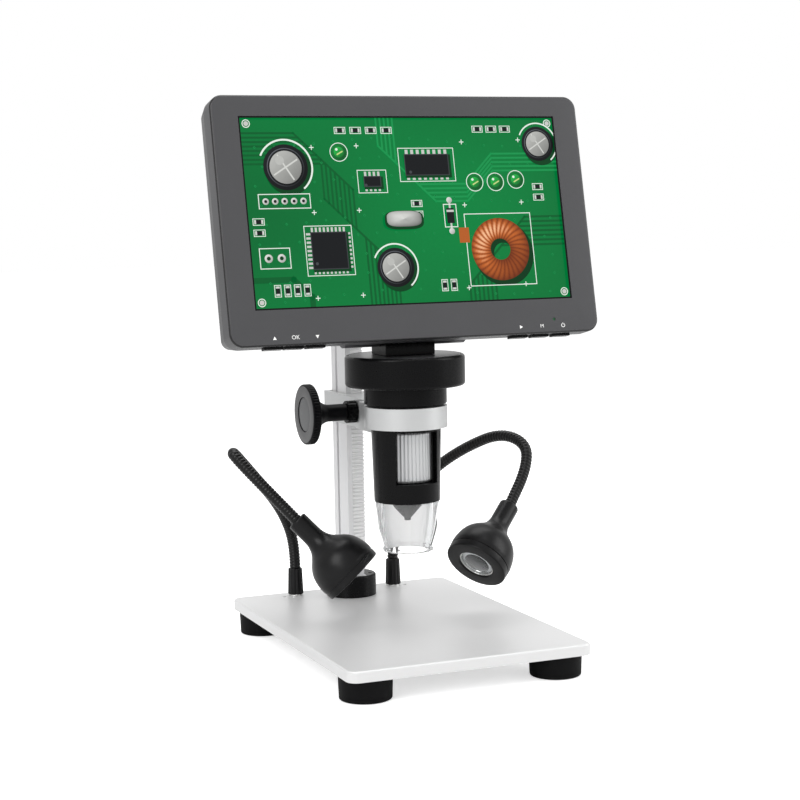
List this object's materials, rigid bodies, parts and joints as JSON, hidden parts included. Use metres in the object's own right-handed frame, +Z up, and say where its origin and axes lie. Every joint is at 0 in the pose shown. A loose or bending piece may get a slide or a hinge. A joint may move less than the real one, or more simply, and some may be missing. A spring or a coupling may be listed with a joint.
{
  "type": "lcd digital microscope",
  "caption": "Bench video microscope: a tilting flat screen over a focusable camera head on a rack column, with gooseneck lamps on a flat stage plate.",
  "frame": {"origin": "on the ground under the middle of the whole object's outline, which is the middle of the stage plate", "axes": "+Z up along the column, -Y toward the user and the screen's front, +X to the user's right as they face the screen"},
  "size_m": [0.18, 0.168, 0.2602],
  "materials": {
    "satin_aluminium": "bead blasted and clear anodised",
    "screw_steel": "zinc plated",
    "rack_steel": "milled",
    "drive_brass": "machined",
    "foot_rubber": "matte",
    "black_plastic": "fine satin",
    "guide_plastic": "smooth",
    "knob_plastic": "satin with a fluted rim",
    "knob_cap_plastic": "smooth satin",
    "silver_plastic": "silver paint, ribbed",
    "clear_plastic": "clear moulded",
    "lens_glass": "polished",
    "green_board": "solder mask",
    "white_board": "white solder mask",
    "grey_plastic": "fine texture",
    "screen_glass": "gloss, lit picture",
    "lamp_plastic": "satin",
    "gooseneck_black": "ribbed, black",
    "socket_metal": "plated"
  },
  "bodies": {
    "stand": {"base_plate": "satin_aluminium", "rubber_feet": "foot_rubber", "foot_screws": "screw_steel", "column": "satin_aluminium", "column_rack": "rack_steel", "column_collar": "black_plastic", "column_screw": "screw_steel", "column_cap": "black_plastic", "lamp_ferrules": "black_plastic", "wiring_cover": "black_plastic", "power_socket": "socket_metal"},
    "carriage": {"bracket": "satin_aluminium", "guide_pads": "guide_plastic", "gear_lid": "black_plastic", "bracket_screws": "screw_steel", "shaft_bush": "drive_brass", "idler_pins": "screw_steel"},
    "knob": {"pinion_shaft": "screw_steel", "focus_knob": "knob_plastic", "knob_cap": "knob_cap_plastic"},
    "front_gear": {"front_idler": "drive_brass"},
    "rear_gear": {"rear_idler": "drive_brass"},
    "tension": {"tension_ring": "black_plastic"},
    "head": {"barrel_shell": "black_plastic", "wheel_retainer": "black_plastic", "sensor_board": "green_board", "clear_hood": "clear_plastic", "ring_board": "white_board", "head_collar": "black_plastic", "disc_housing": "black_plastic", "disc_lid": "black_plastic", "monitor_neck": "grey_plastic"},
    "wheel": {"focus_wheel": "silver_plastic"},
    "lens": {"lens_carrier": "black_plastic", "front_lens": "lens_glass"},
    "monitor": {"front_bezel": "grey_plastic", "rear_cover": "grey_plastic", "lcd_panel": "screen_glass", "main_board": "green_board", "button_board": "green_board", "hinge_pin": "screw_steel", "case_screws": "screw_steel"},
    "key_up": {"button_up": "grey_plastic"},
    "key_ok": {"button_ok": "grey_plastic"},
    "key_down": {"button_down": "grey_plastic"},
    "key_mode": {"button_mode": "grey_plastic"},
    "key_photo": {"button_photo": "grey_plastic"},
    "key_power": {"button_power": "grey_plastic"},
    "left_neck": {"left_lower_gooseneck": "gooseneck_black"},
    "left_arm": {"left_upper_gooseneck": "gooseneck_black"},
    "left_lamp": {"left_lamp_shell": "lamp_plastic", "left_lamp_lens": "clear_plastic", "left_lamp_module": "white_board"},
    "right_neck": {"right_lower_gooseneck": "gooseneck_black"},
    "right_arm": {"right_upper_gooseneck": "gooseneck_black"},
    "right_lamp": {"right_lamp_shell": "lamp_plastic", "right_lamp_lens": "clear_plastic", "right_lamp_module": "white_board"}
  },
  "joints": [
    {"name": "focus_slide", "type": "slide", "parent": "stand", "child": "carriage", "axis": [0, 0, 1], "range_m": [-0.02, 0.045]},
    {"name": "knob_spin", "type": "hinge", "parent": "carriage", "child": "knob", "pos_m": [0, 0.03401, 0.1119], "axis": [1, 0, 0], "range_deg": [-575, 256]},
    {"name": "front_gear_spin", "type": "hinge", "parent": "carriage", "child": "front_gear", "pos_m": [0, 0.04301, 0.1119], "axis": [1, 0, 0], "range_deg": [-256, 575]},
    {"name": "rear_gear_spin", "type": "hinge", "parent": "carriage", "child": "rear_gear", "pos_m": [0, 0.05201, 0.1119], "axis": [1, 0, 0], "range_deg": [-575, 256]},
    {"name": "tension_turn", "type": "hinge", "parent": "carriage", "child": "tension", "pos_m": [0, 0.03401, 0.1119], "axis": [1, 0, 0], "range_deg": [-180, 180]},
    {"name": "head_swivel", "type": "hinge", "parent": "carriage", "child": "head", "pos_m": [0, -0.0102, 0.11], "axis": [0, 0, 1], "range_deg": [-30, 30]},
    {"name": "monitor_tilt", "type": "hinge", "parent": "head", "child": "monitor", "pos_m": [0, -0.0085, 0.1521], "axis": [1, 0, 0], "range_deg": [-25, 12]},
    {"name": "wheel_turn", "type": "hinge", "parent": "head", "child": "wheel", "pos_m": [0, -0.0102, 0.095], "axis": [0, 0, 1], "range_deg": [-150, 150]},
    {"name": "lens_travel", "type": "slide", "parent": "head", "child": "lens", "axis": [0, 0, 1], "range_m": [-0.00251, 0.00251]},
    {"name": "press_up", "type": "slide", "parent": "monitor", "child": "key_up", "axis": [0, 0.2053, 0.9787], "range_m": [0, 0.0005], "stiffness_N_per_m": 400, "springref_m": -0.0005},
    {"name": "press_ok", "type": "slide", "parent": "monitor", "child": "key_ok", "axis": [0, 0.2053, 0.9787], "range_m": [0, 0.0005], "stiffness_N_per_m": 400, "springref_m": -0.0005},
    {"name": "press_down", "type": "slide", "parent": "monitor", "child": "key_down", "axis": [0, 0.2053, 0.9787], "range_m": [0, 0.0005], "stiffness_N_per_m": 400, "springref_m": -0.0005},
    {"name": "press_mode", "type": "slide", "parent": "monitor", "child": "key_mode", "axis": [0, 0.2053, 0.9787], "range_m": [0, 0.0005], "stiffness_N_per_m": 400, "springref_m": -0.0005},
    {"name": "press_photo", "type": "slide", "parent": "monitor", "child": "key_photo", "axis": [0, 0.2053, 0.9787], "range_m": [0, 0.0005], "stiffness_N_per_m": 400, "springref_m": -0.0005},
    {"name": "press_power", "type": "slide", "parent": "monitor", "child": "key_power", "axis": [0, 0.2053, 0.9787], "range_m": [0, 0.0005], "stiffness_N_per_m": 400, "springref_m": -0.0005},
    {"name": "left_swing", "type": "hinge", "parent": "stand", "child": "left_neck", "pos_m": [-0.0266, 0.07575, 0.03], "axis": [0, 0, 1], "range_deg": [-30, 0]},
    {"name": "left_bend", "type": "hinge", "parent": "left_neck", "child": "left_arm", "pos_m": [-0.06382, 0.04318, 0.09058], "axis": [0.7435, -0.0997, 0.6612], "range_deg": [-20, 15]},
    {"name": "left_tilt", "type": "hinge", "parent": "left_arm", "child": "left_lamp", "pos_m": [-0.04595, 0.01659, 0.0648], "axis": [-0.4725, -0.8813, 0], "range_deg": [-20, 0]},
    {"name": "right_swing", "type": "hinge", "parent": "stand", "child": "right_neck", "pos_m": [0.0266, 0.07575, 0.03], "axis": [0, 0, 1], "range_deg": [0, 30]},
    {"name": "right_bend", "type": "hinge", "parent": "right_neck", "child": "right_arm", "pos_m": [0.0605, 0.03625, 0.09325], "axis": [0.7576, 0.2379, -0.6078], "range_deg": [-20, 5]},
    {"name": "right_tilt", "type": "hinge", "parent": "right_arm", "child": "right_lamp", "pos_m": [0.05902, 0.00276, 0.06534], "axis": [-0.5082, 0.8613, 0], "range_deg": [-20, 10]}
  ],
  "couplings": [
    {"joint": "knob_spin", "follows": "focus_slide", "rad_per_m": -222.22},
    {"joint": "front_gear_spin", "follows": "focus_slide", "rad_per_m": 222.22},
    {"joint": "rear_gear_spin", "follows": "focus_slide", "rad_per_m": -222.22},
    {"joint": "lens_travel", "follows": "wheel_turn", "m_per_rad": 0.000955}
  ]
}
